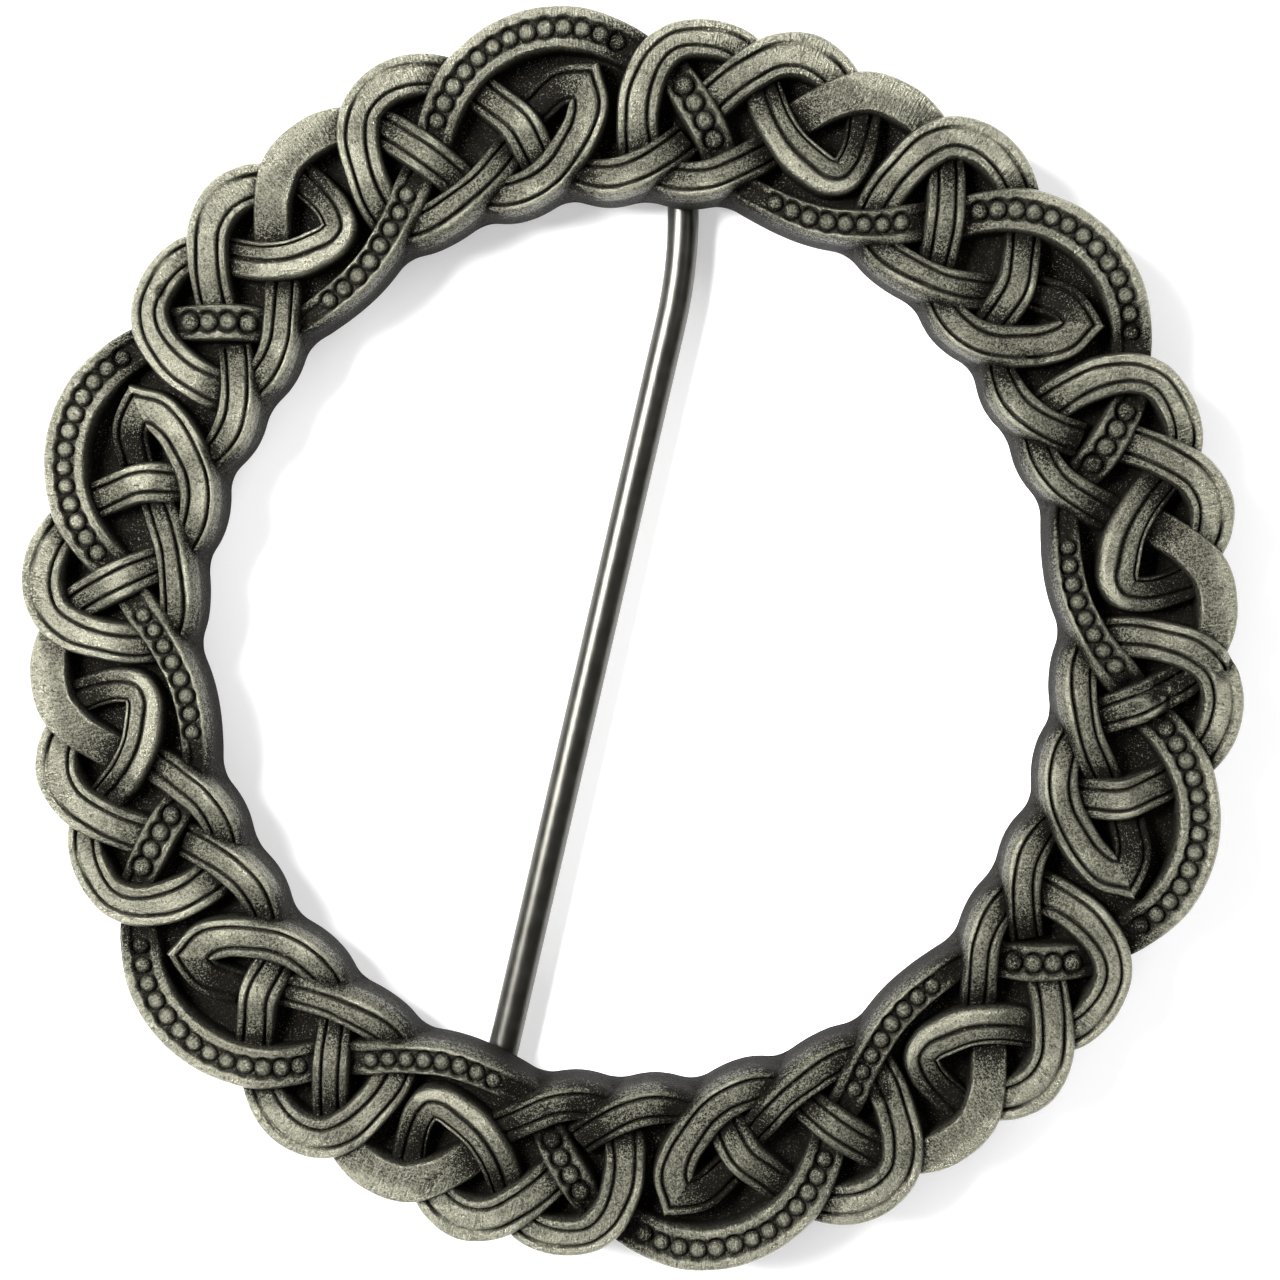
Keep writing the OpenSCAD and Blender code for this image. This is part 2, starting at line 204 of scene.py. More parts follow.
# The forms of a section: how far they rise or fall, and where they lie, as shares of the half width.
CROWN = 0.06  # fall from the middle of a band to its edges
EDGE_ROUND = 0.26
EDGE_FROM = 0.84
SMOOTH_CROWN = 0.04
RIB_CROWN = 0.08
RIB_HALF = 0.4
RAIL_CROWN = 0.07
RAIL_HALF = 0.24
RIBBED_RAIL, BEADED_RAIL = 0.74, 0.76
GROOVE_DEPTH = 0.34
GROOVE_HALF, GROOVE_SIDE = 0.018, 0.1  # half of its flat bottom, and the slope beside it
TROUGH_DEPTH = 0.32  # between the rails of a beaded band
TROUGH_SIDE = (0.36, 0.52)
TROUGH_GRIME = 0.85
ROLL = 0.8  # how deep the inner side of the innermost bands is rounded over
ROLL_SIDE = (0.6, 1.1)  # from where to where it falls away

# Distances from the ring's centre between which the rim becomes sanded and its grooves shallow, and
# between which a band becomes one of the outermost and one of the innermost.
SANDED = (41.1, 41.9)
OUTMOST = (38.5, 41.0)
INMOST = (34.2, 33.0)
SANDED_OFF = 0.8  # share of the grooves that is gone in the sanded rim

# The sloped inner wall: height above the back, and how far it lies behind its foot.
SKIRT = [(0, 0), (0.25, 0.03), (0.9, 0.14), (1.6, 0.33), (2.2, 0.62), (2.6, 1.0), (2.9, 1.6)]
SKIRT_OUT = 0.06  # how far its foot stands out from the bands
SKIRT_FILL = 4  # it fills notches of up to twice this many steps of the outline
OUTLINE_STEPS = 240  # of one unit

# How uneven the hand-made casting is: amount, size of the lumps (mm), and a seed. The amount is a share
# for the band width, groove depth, inner wall and pits, and else millimetres.
UNEVEN = {
    "band width": (0.025, 1.7, 5),
    "groove depth": (0.15, 1.1, 7),
    "sanded rim": (0.4, 1.5, 9),
    "band top": (0.02, 0.9, 3),
    "band grain": (0.008, 0.35, 4),
    "floor": (0.06, 0.8, 21),
    "floor grain": (0.03, 0.3, 22),
    "inner wall": (0.0016, 1.3, 33),
    "back": (0.02, 2.2, 31),
    "pits": (1, 0.55, 41),
}

# How the hand-made knot drifts from an even one: angle clockwise (degrees), outward and clockwise (mm),
# and how much further outward its inner bands lie.
DRIFT = [
    (0, 0, 0.1, 0), (15, 0, 0.35, -0.05), (45, -0.1, 0.3, -0.25), (75, 0, 0, -0.3),
    (97, -0.15, -0.25, -0.42), (120, 0.05, -0.2, -0.15), (135, 0.15, -0.05, 0),
    (165, 0.15, -0.25, 0.15), (180, 0.3, 0, 0.15), (200, 0, -0.2, 0.2), (222, -0.45, -0.4, 0.3),
    (240, 0, 0.15, 0.1), (255, 0, 0.35, 0), (275, 0.05, 0, 0), (315, -0.12, -0.1, 0),
    (345, -0.12, 0, 0),
]
DRIFT_INNER = (37, 33)  # distances between which a band becomes an inner one

# Patches where the casting is pitted: angle clockwise (degrees), distance, reach and depth.
PITS = [
    (96, 36.9, 1.8, 0.6), (92, 41.9, 0.8, 1.0), (55.4, 34.1, 0.9, 0.4), (24, 39.6, 0.8, 0.3),
    (150, 36.4, 1.2, 0.35), (201, 40.2, 0.7, 0.35), (254, 37.6, 1.0, 0.35), (306, 40.8, 0.6, 0.35),
]
PITS_ABOVE = 0.3  # they stay this far above the floor
PITS_SPARE = (-0.35, 0.3)  # between these values of their waver a pit sinks in

# How much less than the outer loops each band was rubbed, 0 to 1.
LESS_RUBBED = {
    "A": 0, "B": 0, "C": 0.08, "D": 0, "E": 0, "K": 0, "F": 0.1, "M": 0.12, "H": 0.1, "I": 0.1,
    "G": 0.16, "N": 0.18, "L": 0.2, "J": 0.26, "O": 0.85,
}

# Patches of the ring painted darker, or below 0 painted brighter, which is painted light where the lamps
# catch the loops, mostly on the left: angle clockwise (degrees), distance, reach and amount.
DARK_AND_LIT_PLACES = [
    (22, 31.6, 5, 0.2), (50, 33, 4, 0.15), (76, 31.8, 6, 0.28), (122, 33, 5, 0.3), (150, 34, 6, 0.32),
    (166, 33, 6, 0.34), (182, 32, 5, 0.5), (190, 32, 4, 0.35), (186, 32.5, 6, 0.2), (52, 40, 9, 0.12),
    (82, 40, 7, 0.12), (214, 39.5, 5, 0.1), (92, 31.0, 5, -0.1), (252, 37, 7, -0.12),
    (275, 39.5, 7, -0.26), (294, 37.5, 7, -0.14), (308, 35, 6, -0.14), (320, 37.4, 3.5, -0.34),
    (332, 40, 5, -0.1),
]

# Black kept elsewhere, 0 to 1: the finish's own, in places with painted shade, and less of it where a
# highlight is painted.
SUNK_PATINA_AND_SHADE = 1.05  # for each millimetre that a band sinks: patina, and painted shade under the band that crosses it
PIT_DULL = 2.6  # for each millimetre of a pit
ROLL_DULL = 0.85  # where the innermost bands are rounded over
ROLL_DULL_SIDE = (0.68, 0.86)
CREST_WEAR_AND_HIGHLIGHT = 0.3  # less black on the lines where a section rounds over into a groove or an edge: wear, and a painted highlight
CREST_LINES = {"ribbed": (0.3, 0.58, 0.9), "beaded": (0.6, 0.9), "smooth": (0.88,)}
CREST_HALF = 0.08

# The last tone, hollow, is the black kept at each point: patina, painted shade where bands pass under others
# and beside them, and below 0 a painted highlight on what stands out.
TONES = ("grime", "wall", "sanded", "hollow")  # what each point of the ring tells its finish
FLOOR_TONES = (1.0, 0, 0, 1.0)
SKIRT_TONES = (0, 1.0, 0, 0)
BACK_TONES = (0, 0.4, 0, 0)
FITTING_WALL = 0.55  # how much of the walls' black the lugs and prongs have
FITTING_DULL, FITTING_RUBBED = 0.15, 0.6  # black kept on them, and how much less where they are rubbed

# The height map that shows how deep a place lies among its neighbours: half its side, its cell, and
# how far round each place it is blurred, with the share of each blur.
MAP_REACH, MAP_CELL = 48.0, 0.16
NEAR, NEAR_SHARE = 0.35, 0.55
WIDE, WIDE_SHARE = 1.0, 0.45


# Shapes of the casting

def ease(low, high, x):
    """0 below low, 1 above high, and a soft step between."""
    t = np.clip((np.asarray(x, float) - low) / (high - low), 0, 1)
    return t * t * (3 - 2 * t)


def lattice(cell, seed):
    """One number from 0 to 1 for each whole-numbered cell. The large factors only scatter them."""
    n = cell[..., 0] * 374761393 + cell[..., 1] * 668265263 + cell[..., 2] * 1274126177 + seed * 974711
    n = (n ^ (n >> 13)) * 1103515245 & 0x7FFFFFFF
    return ((n ^ (n >> 16)) & 0xFFFF) / 65535


def waver(points, size, seed):
    """Smooth noise from -1 to 1 at points, with lumps of that size in millimetres."""
    scaled = np.asarray(points, float) / size
    cell = np.floor(scaled).astype(np.int64)
    f = scaled - cell
    f = f * f * (3 - 2 * f)
    total = 0.0
    for corner in np.ndindex(2, 2, 2):
        weight = np.prod(np.where(corner, f, 1 - f), axis=-1)
        total = total + weight * lattice(cell + np.array(corner), seed)
    return total * 2 - 1


def uneven(what, points):
    """The unevenness of one thing at points."""
    amount, size, seed = UNEVEN[what]
    return amount * waver(points, size, seed)


def clock(angle, distance):
    """x and y of a place of the ring."""
    return np.array([distance * math.sin(math.radians(angle)), distance * math.cos(math.radians(angle))])


def turned(points, units):
    """The points turned clockwise round the ring by that many units."""
    a = math.radians(UNIT_ANGLE * units)
    x = points[:, 0] * math.cos(a) + points[:, 1] * math.sin(a)
    y = -points[:, 0] * math.sin(a) + points[:, 1] * math.cos(a)
    return np.column_stack([x, y, points[:, 2]])


def centre_line(rows, pace):
    """x, y, width and sink at even steps along a band, and the distance of each step along it."""
    rows = np.array(rows, float)
    angle = np.radians(rows[:, 0])
    points = np.column_stack([rows[:, 1] * np.sin(angle), rows[:, 1] * np.cos(angle), rows[:, 2:]])
    span = np.linalg.norm(np.diff(points[:, :2], axis=0), axis=1)
    t = np.concatenate([[0], np.cumsum(span)])
    slope = np.gradient(points, t, axis=0)
    fine_step = 0.03
    fine = np.linspace(0, t[-1], int(t[-1] / fine_step))
    i = np.clip(np.searchsorted(t, fine, side="right") - 1, 0, len(t) - 2)
    h = (t[i + 1] - t[i])[:, None]
    f = (fine - t[i])[:, None] / h
    line = (points[i] * (1 + 2 * f) * (1 - f) ** 2 + slope[i] * h * f * (1 - f) ** 2
            + points[i + 1] * f * f * (3 - 2 * f) + slope[i + 1] * h * f * f * (f - 1))
    line[:, 3] = np.clip(line[:, 3], 0, 1)
    along = np.concatenate([[0], np.cumsum(np.linalg.norm(np.diff(line[:, :2], axis=0), axis=1))])
    even = np.linspace(0, along[-1], int(round(along[-1] / pace)) + 1)
    return np.column_stack([np.interp(even, along, line[:, k]) for k in range(4)]), even


def sideways(line):
    """Unit vectors to the left of the line."""
    way = np.gradient(line[:, :2], axis=0)
    way /= np.linalg.norm(way, axis=1)[:, None]
    return np.column_stack([-way[:, 1], way[:, 0]])


def grooved(name, s):
    """The even shares of a section, shifted so that the band's grooves run where they should."""
    n = len(s)
    t = np.linspace(0, 1, n)
    left, right = [np.interp(t, (0, 0.5, 1), row)[:, None] for row in GROOVES[name]]
    # each groove sways in its own rhythm
    wander = np.linspace(0, 9 * n / 60, n)[:, None]
    left = left + GROOVE_SWAY * np.sin(wander * 1.7 + ord(name))
    right = right + GROOVE_SWAY * np.sin(wander * 1.3 + 2 * ord(name))
    rail = (np.abs(s) - EVEN) / (1 - EVEN)
    middle = (s + EVEN) / (2 * EVEN)
    return np.where(s > EVEN, left + rail * (1 - left),
                    np.where(s < -EVEN, right - rail * (1 + right), right + middle * (left - right)))


def groove(s, at):
    """1 in a groove at that share of the half width, 0 outside it."""
    return 1 - ease(GROOVE_HALF, GROOVE_HALF + GROOVE_SIDE, np.abs(s - at))


def rails(s, at):
    """Rise of the rails along both edges of a section."""
    return RAIL_CROWN * np.clip(1 - ((np.abs(s) - at) / RAIL_HALF) ** 2, 0, 1)


def section_drop(kind, s, deep):
    """Depth below the band's top across a section, and how grimy it is there. deep scales the grooves."""
    edge = ease(EDGE_FROM, 1.0, np.abs(s))
    drop = CROWN * s * s + EDGE_ROUND * (1 - np.sqrt(np.clip(1 - edge * edge, 0, 1)))
    if kind == "ribbed":
        cut = groove(s, EVEN) * deep[1] + groove(s, -EVEN) * deep[0]
        rib = RIB_CROWN * (1 - np.clip(np.abs(s) / RIB_HALF, 0, 1) ** 2)
        return drop - rib - rails(s, RIBBED_RAIL) + GROOVE_DEPTH * cut, cut
    if kind == "beaded":
        cut = 1 - ease(*TROUGH_SIDE, np.abs(s))
        return drop - rails(s, BEADED_RAIL) + TROUGH_DEPTH * cut, TROUGH_GRIME * cut
    return drop - SMOOTH_CROWN * (1 - s * s), np.zeros_like(s)


def crest(kind, s):
    """1 on the lines where a section rounds over into a groove or an edge."""
    near = [np.clip(1 - np.abs(np.abs(s) - at) / CREST_HALF, 0, 1) for at in CREST_LINES[kind]]
    return np.max(near, axis=0)


def band_mesh(name):
    """Points (the back of the ring at 0), faces and tones of one band."""
    kind, rows = BANDS[name]
    line, _ = centre_line(rows, BEAD_PACE if kind == "beaded" else PACE)
    left = sideways(line)
    middle = np.column_stack([line[:, :2], np.zeros(len(line))])
    half = line[:, 2] / 2 * (1 + uneven("band width", middle))
    radius = np.linalg.norm(line[:, :2], axis=1)
    # 1 where the band's left side looks away from the ring's centre, -1 where its right side does
    outward = np.sign(np.sum(left * line[:, :2], axis=1))
    sanded = ease(*SANDED, radius + uneven("sanded rim", middle))
    depth = 1 + uneven("groove depth", middle)
    deep = [(depth * (1 - SANDED_OFF * sanded * (outward * side > 0)))[:, None] for side in (-1, 1)]
    shares = np.array(BEAD_POINTS if kind == "beaded" else RIB_POINTS)
    s = np.concatenate([-shares[::-1], shares[1:]])[None, :] * np.ones((len(line), 1))
    drop, grime = section_drop(kind, s, deep)
    inward = -s * outward[:, None]
    inmost = ease(*INMOST, radius)[:, None]
    drop = drop + ROLL * inmost * ease(*ROLL_SIDE, inward)
    top = RING_T - DIP * line[:, 3]
    z = top[:, None] - drop
    # the outermost edges are steeper and reach a little further out
    rim = OUTER_EDGE * ease(*OUTMOST, radius)
    extra = [rim * (outward * side > 0) for side in (-1, 1)]
    share = grooved(name, s) if kind == "ribbed" else s
    across = share * np.where(share > 0, (half + extra[1])[:, None], (half + extra[0])[:, None])
    # the walls, from each edge down to the back
    levels = np.array(WALL_LEVELS)
    wall_z = z[:, :1] * levels
    right_wall, left_wall = [half[:, None] + more[:, None] + (DRAFT - more[:, None]) * (1 - levels)
                             - FOOT_TUCK * ease(0.15, 0, levels) for more in extra]
    across = np.hstack([-right_wall[:, ::-1], across, left_wall])
    z = np.hstack([wall_z[:, ::-1], z, wall_z])
    none = np.zeros_like(wall_z)
    wall = np.hstack([none + 1, 0 * s, none + 1])
    grime = np.hstack([none, grime, none])
    x = line[:, 0:1] + left[:, 0:1] * across
    y = line[:, 1:2] + left[:, 1:2] * across
    points = np.stack([x, y, z], axis=-1)
    points[..., 2] += (uneven("band top", points) + uneven("band grain", points)) * (1 - wall)
    if name in BEADS:
        grime = press_pockets(name, points, z, wall, grime)
    # the leaf's tip is at the end of its one band and at the start of the other
    if name == "N":
        points = mitred(points)
    if name == "O":
        points = mitred(points[::-1])[::-1]
    n, m = z.shape
    sand = np.repeat(sanded[:, None], m, axis=1) * (1 - wall)
    # the crest lines get less black: a painted highlight, with the wear of the rounded edges
    black = ROLL_DULL * inmost * ease(*ROLL_DULL_SIDE, inward) - CREST_WEAR_AND_HIGHLIGHT * crest(kind, s)
    # a sinking band keeps more black: patina, and painted shade under the band that crosses it
    kept = SUNK_PATINA_AND_SHADE * DIP * line[:, 3:4] + LESS_RUBBED[name] + np.hstack([none, black, none])
    tones = np.column_stack([t.ravel() for t in (grime, wall, sand, kept)])
    return points.reshape(-1, 3), grid_faces(n, m), tones


def press_pockets(name, points, z, wall, grime):
    """Presses the beads' pockets into a band's points, whose even heights are z, and blackens them."""
    for x, y, top, size in bead_places(name):
        reach = np.hypot(points[..., 0] - x, points[..., 1] - y) / (size / 2)
        pocket = (1 - ease(POCKET - POCKET_SIDE[0], POCKET + POCKET_SIDE[1], reach)) * (1 - wall)
        sunk = np.minimum(points[..., 2], z + (top - POCKET_DEPTH - z) * pocket)
        points[..., 2] = np.where(pocket > 0, sunk, points[..., 2])
        grime = np.maximum(grime, pocket)
    return grime


def grid_faces(n, m):
    """Quads of a grid of n rows of m points, wound so that they face up or out."""
    i = (np.arange(n - 1)[:, None] * m + np.arange(m - 1)[None, :]).ravel()
    return np.column_stack([i, i + m, i + m + 1, i + 1])[:, ::-1]


def mitred(points):
    """A band's grid with its last rows drawn back to the line where the two bands of the leaf meet."""
    corner, tip = clock(*LEAF_CORNER), clock(*LEAF_TIP)
    side = (points[..., :2] - corner) @ np.array([corner[1] - tip[1], tip[0] - corner[0]])
    n = len(points)
    first = n - int(MITRE_L / PACE)
    home = np.sign(side[first, points.shape[1] // 2])
    made = points.copy()
    for column in range(points.shape[1]):
        beyond = np.nonzero(np.sign(side[first:, column]) != home)[0]
        end = n - 1
        if len(beyond):
            k = first + beyond[0]
            before, after = side[k - 1, column], side[k, column]
            end = k - 1 + before / (before - after)
        rows = first + (np.arange(first, n) - first) / (n - 1 - first) * (end - first)
        for axis in range(3):
            made[first:, column, axis] = np.interp(rows, np.arange(n), points[:, column, axis])
    return made


def bead_places(name):
    """Centre, height of the band's top, and diameter of each bead of a band."""
    first, pitch, count, size, shift = BEADS[name]
    line, along = centre_line(BANDS[name][1], BEAD_PACE)
    left = sideways(line)
    for k in range(count):
        at = first + pitch * k
        x, y, _, sink = [np.interp(at, along, line[:, c]) for c in range(4)]
        left_x, left_y = [np.interp(at, along, left[:, c]) for c in range(2)]
        off = shift + BEAD_STRAY * math.sin(5.1 * k + 1)
        diameter = size * (1 + BEAD_VARIES * math.sin(7.3 * k + ord(name)))
        yield x + left_x * off, y + left_y * off, RING_T - DIP * sink, diameter


def bead_mesh(name):
    """The domes that stand in a beaded band's pockets."""
    rings, spokes = 6, 16
    tilt = np.linspace(0, math.pi / 2, rings)
    turn = np.arange(spokes) * 2 * math.pi / spokes
    points, faces, tones = [], [], []
    for x, y, top, size in bead_places(name):
        r = size / 2
        base = top - POCKET_DEPTH - BEAD_SET
        dome = [[x + r * math.cos(a) * math.sin(t), y + r * math.sin(a) * math.sin(t),
                 base + BEAD_RISE * (1 - math.sin(t) ** 3.6) ** 0.6] for t in tilt[1:] for a in turn]
        start = sum(len(p) for p in points)
        points.append(np.array([[x, y, base + BEAD_RISE]] + dome))
        for a in range(spokes):
            b = (a + 1) % spokes
            faces.append([start, start + 1 + a, start + 1 + b, start + 1 + b])
            for row in range(rings - 2):
                low, high = start + 1 + row * spokes, start + 1 + (row + 1) * spokes
                faces.append([low + a, high + a, high + b, low + b])
        rim = np.concatenate([[0], np.repeat(np.sin(tilt[1:]) ** 6, spokes)])
        # a sunk bead keeps more black: patina, and painted shade under the band that crosses it
        kept = SUNK_PATINA_AND_SHADE * (RING_T - top) + LESS_RUBBED[name]
        tones.append(np.column_stack([rim, 0 * rim, 0 * rim, 0 * rim + kept]))
    return np.vstack(points), np.array(faces), np.vstack(tones)


def silhouette(bands):
    """Radius of the inner and the outer outline of one unit's walls, at even angles over the unit."""
    between = (np.arange(8) / 8)[:, None, None, None]  # eight points from each row to the next
    feet = []
    for points in bands:
        edge = points.reshape(-1, SECTION_POINTS, 3)[:, [0, -1]]
        feet.append((edge[:-1] * (1 - between) + edge[1:] * between).reshape(-1, 3))
    points = np.vstack(feet)
    r = np.linalg.norm(points[:, :2], axis=1)
    u = np.degrees(np.arctan2(points[:, 0], points[:, 1])) % UNIT_ANGLE
    slot = np.minimum((u / UNIT_ANGLE * OUTLINE_STEPS).astype(int), OUTLINE_STEPS - 1)
    inner, outer = np.full(OUTLINE_STEPS, 99.0), np.zeros(OUTLINE_STEPS)
    np.minimum.at(inner, slot, r)
    np.maximum.at(outer, slot, r)
    return inner, outer


def skirt_line(inner):
    """The inner foot of the ring, smoother than the bands: narrow notches are filled."""
    line = np.tile(inner, 3)
    for pick in (np.min, np.max):
        line = pick([np.roll(line, k) for k in range(-SKIRT_FILL, SKIRT_FILL + 1)], axis=0)
    for _ in range(3):
        line = np.mean([np.roll(line, k) for k in range(-2, 3)], axis=0)
    return line[len(inner):2 * len(inner)] - SKIRT_OUT


def unit_grid(r, z):
    """Points over one unit at the radii r, of which each row has one angle, and at the heights z."""
    steps = len(r) - 1
    u = np.radians((np.arange(steps + 1) + 0.5) / steps * UNIT_ANGLE)[:, None]
    return np.stack([r * np.sin(u), r * np.cos(u), z + 0 * r], axis=-1)


def skirt_mesh(foot):
    """The sloped inner wall of the casting, between and below the bands."""
    height, back = np.array(SKIRT, float).T
    r = np.append(foot, foot[0])[:, None] + back[None, :]
    points = unit_grid(r, height[None, :])
    points[..., :2] *= 1 + (uneven("inner wall", points) * (points[..., 2] > 0.1))[..., None]
    return points.reshape(-1, 3), grid_faces(*r.shape)[:, ::-1]


def sheet_mesh(inner, outer, z, up, rows):
    """A flat sheet of one unit between two outlines, at one height."""
    a, b = np.append(inner, inner[0]), np.append(outer, outer[0])
    share = np.linspace(0, 1, rows)[None, :]
    r = a[:, None] * (1 - share) + b[:, None] * share
    faces = grid_faces(*r.shape)
    return unit_grid(r, z).reshape(-1, 3), faces[:, ::-1] if up else faces


def map_cells(points):
    """Row and column of the height map for each point."""
    return tuple(((points[:, axis] + MAP_REACH) / MAP_CELL).astype(int) for axis in (1, 0))


def height_map(points):
    """Highest surface on a fine square grid over one unit and its neighbours."""
    n = int(2 * MAP_REACH / MAP_CELL)
    high = np.zeros((n, n))
    for k in (-1, 0, 1):
        np.maximum.at(high, map_cells(turned(points, k)), points[:, 2])
    rows = (np.arange(n) + 0.5) * MAP_CELL - MAP_REACH
    r = np.hypot(rows[:, None], rows[None, :])
    under = 0.4  # the floor counts a little way under the bands
    floor = np.where((r > FLOOR_IN - under) & (r < FLOOR_OUT + under), FLOOR_T, 0)
    return np.maximum(high, floor)


def soften(image, size):
    """The image blurred by a round brush of that size."""
    sigma = size / MAP_CELL
    reach = int(3 * sigma) + 1
    weight = np.exp(-0.5 * (np.arange(-reach, reach + 1) / sigma) ** 2)
    weight /= weight.sum()
    for axis in (0, 1):
        image = sum(w * np.roll(image, k - reach, axis=axis) for k, w in enumerate(weight))
    return image


def cast_unit():
    """All surfaces of one unit of the ring: points, faces and tones."""
    bands = [band_mesh(name) for name in BANDS]
    inner, outer = silhouette([points for points, _, _ in bands])
    high = height_map(np.vstack([points for points, _, _ in bands]))
    foot = skirt_line(inner)
    floor = sheet_mesh(np.full(OUTLINE_STEPS, FLOOR_IN), np.full(OUTLINE_STEPS, FLOOR_OUT), FLOOR_T, True, 50)
    floor[0][:, 2] += uneven("floor", floor[0]) + uneven("floor grain", floor[0])
    back = sheet_mesh(foot, outer - 0.03, 0.0, False, 22)
    back[0][:, 2] += BACK_IN + uneven("back", back[0])
    parts = bands + [bead_mesh(name) for name in BEADS]
    for (points, faces), tones in ((floor, FLOOR_TONES), (skirt_mesh(foot), SKIRT_TONES), (back, BACK_TONES)):
        parts.append((points, faces, np.tile(tones, (len(points), 1))))
    starts = np.cumsum([0] + [len(points) for points, _, _ in parts])
    points = np.vstack([part[0] for part in parts])
    faces = np.vstack([part[1] + start for part, start in zip(parts, starts)])
    tones = np.vstack([part[2] for part in parts])
    here = map_cells(points)
    near, wide = soften(high, NEAR)[here], soften(high, WIDE)[here]
    # the deeper a place lies among its neighbours, the more black: patina, in part painted shade beside the
    # bands; where it stands out, the tone falls below 0, which gives the edges their painted highlight
    tones[:, 3] += NEAR_SHARE * (near - points[:, 2]) + WIDE_SHARE * (wide - points[:, 2])
    return points, faces, tones


def to_mesh(name, points, faces, tones=None):
    """A smooth-shaded mesh object. A face whose last two corners agree is a triangle."""
    mesh = bpy.data.meshes.new(name)
    mesh.vertices.add(len(points))
    mesh.vertices.foreach_set("co", (points * MM).astype(np.float32).ravel())
    keep = np.ones(faces.shape, bool)
    keep[faces[:, 3] == faces[:, 2], 3] = False
    loops = faces[keep]
    starts = np.concatenate([[0], np.cumsum(keep.sum(axis=1))[:-1]])
    mesh.loops.add(len(loops))
    mesh.loops.foreach_set("vertex_index", loops.astype(np.int32))
    mesh.polygons.add(len(faces))
    mesh.polygons.foreach_set("loop_start", starts.astype(np.int32))
    if tones is not None:
        for column, label in enumerate(TONES):
            layer = mesh.attributes.new(label, "FLOAT", "POINT")
            layer.data.foreach_set("value", tones[:, column].astype(np.float32))
    mesh.update(calc_edges=True)
    mesh.validate()
    mesh.polygons.foreach_set("use_smooth", np.ones(len(mesh.polygons), bool))
    obj = bpy.data.objects.new(name, mesh)
    bpy.context.scene.collection.objects.link(obj)
    return obj


# Finishes

class Value:
    """A socket of the material being made, with arithmetic."""

    tree = None

    def __init__(self, socket):
        self.socket = socket

    @classmethod
    def node(cls, kind, settings=None, **inputs):
        """Adds a node: type, settings, then values or links by socket name (or in_0, in_1 by place)."""
        made = cls.tree.nodes.new("ShaderNode" + kind)
        for key, setting in (settings or {}).items():
            setattr(made, key, setting)
        for key, value in inputs.items():
            socket = made.inputs[int(key[3:]) if key.startswith("in_") else key.replace("_", " ")]
            if isinstance(value, Value):
                cls.tree.links.new(value.socket, socket)
            else:
                socket.default_value = value
        return made

    @classmethod
    def out(cls, made, name=0):
        return cls(made.outputs[name])

    def math(self, operation, *others, clamp=False):
        inputs = {f"in_{k}": v for k, v in enumerate((self, *others))}
        return Value.out(Value.node("Math", {"operation": operation, "use_clamp": clamp}, **inputs))

    def __add__(self, other):
        return self.math("ADD", other)

    def __sub__(self, other):
        return self.math("SUBTRACT", other)

    def __mul__(self, other):
        return self.math("MULTIPLY", other)

    def __rsub__(self, other):
        return Value.out(Value.node("Math", {"operation": "SUBTRACT"}, in_0=other, in_1=self))

    __radd__, __rmul__ = __add__, __mul__

    def clamp(self):
        return self.math("ADD", 0.0, clamp=True)

    def between(self, low, high, start=0.0, end=1.0):
        """start below low, end above high, and a soft step between."""
        made = Value.node("MapRange", {"interpolation_type": "SMOOTHSTEP"}, Value=self,
                          From_Min=low, From_Max=high, To_Min=start, To_Max=end)
        return Value.out(made)


def noise(place, scale, detail, rough):
    """Noise from about 0 to 1; scale is lumps per metre."""
    made = Value.node("TexNoise", {"noise_dimensions": "3D"}, Vector=place, Scale=scale, Detail=detail,
                      Roughness=rough)
    return Value.out(made, "Fac")


def mix_colour(share, a, b):
    """Colour a where share is 0 and b where it is 1. The Mix node has its colours at places 6, 7 and 2."""
    made = Value.node("Mix", {"data_type": "RGBA"}, in_0=share, in_6=a, in_7=b)
    return Value.out(made, 2)


def tone(name):
    """One of the tones that the ring's points carry."""
    return Value.out(Value.node("Attribute", {"attribute_name": name}), "Fac")


def start_material(name):
    """A new material and its shader."""
    material = bpy.data.materials.new(name)
    material.use_nodes = True
    Value.tree = material.node_tree
    return material, material.node_tree.nodes["Principled BSDF"]


def join(value, socket):
    """Lets a value drive a socket of the shader."""
    Value.tree.links.new(value.socket, socket)


def colour(r, g, b):
    return (r, g, b, 1.0)


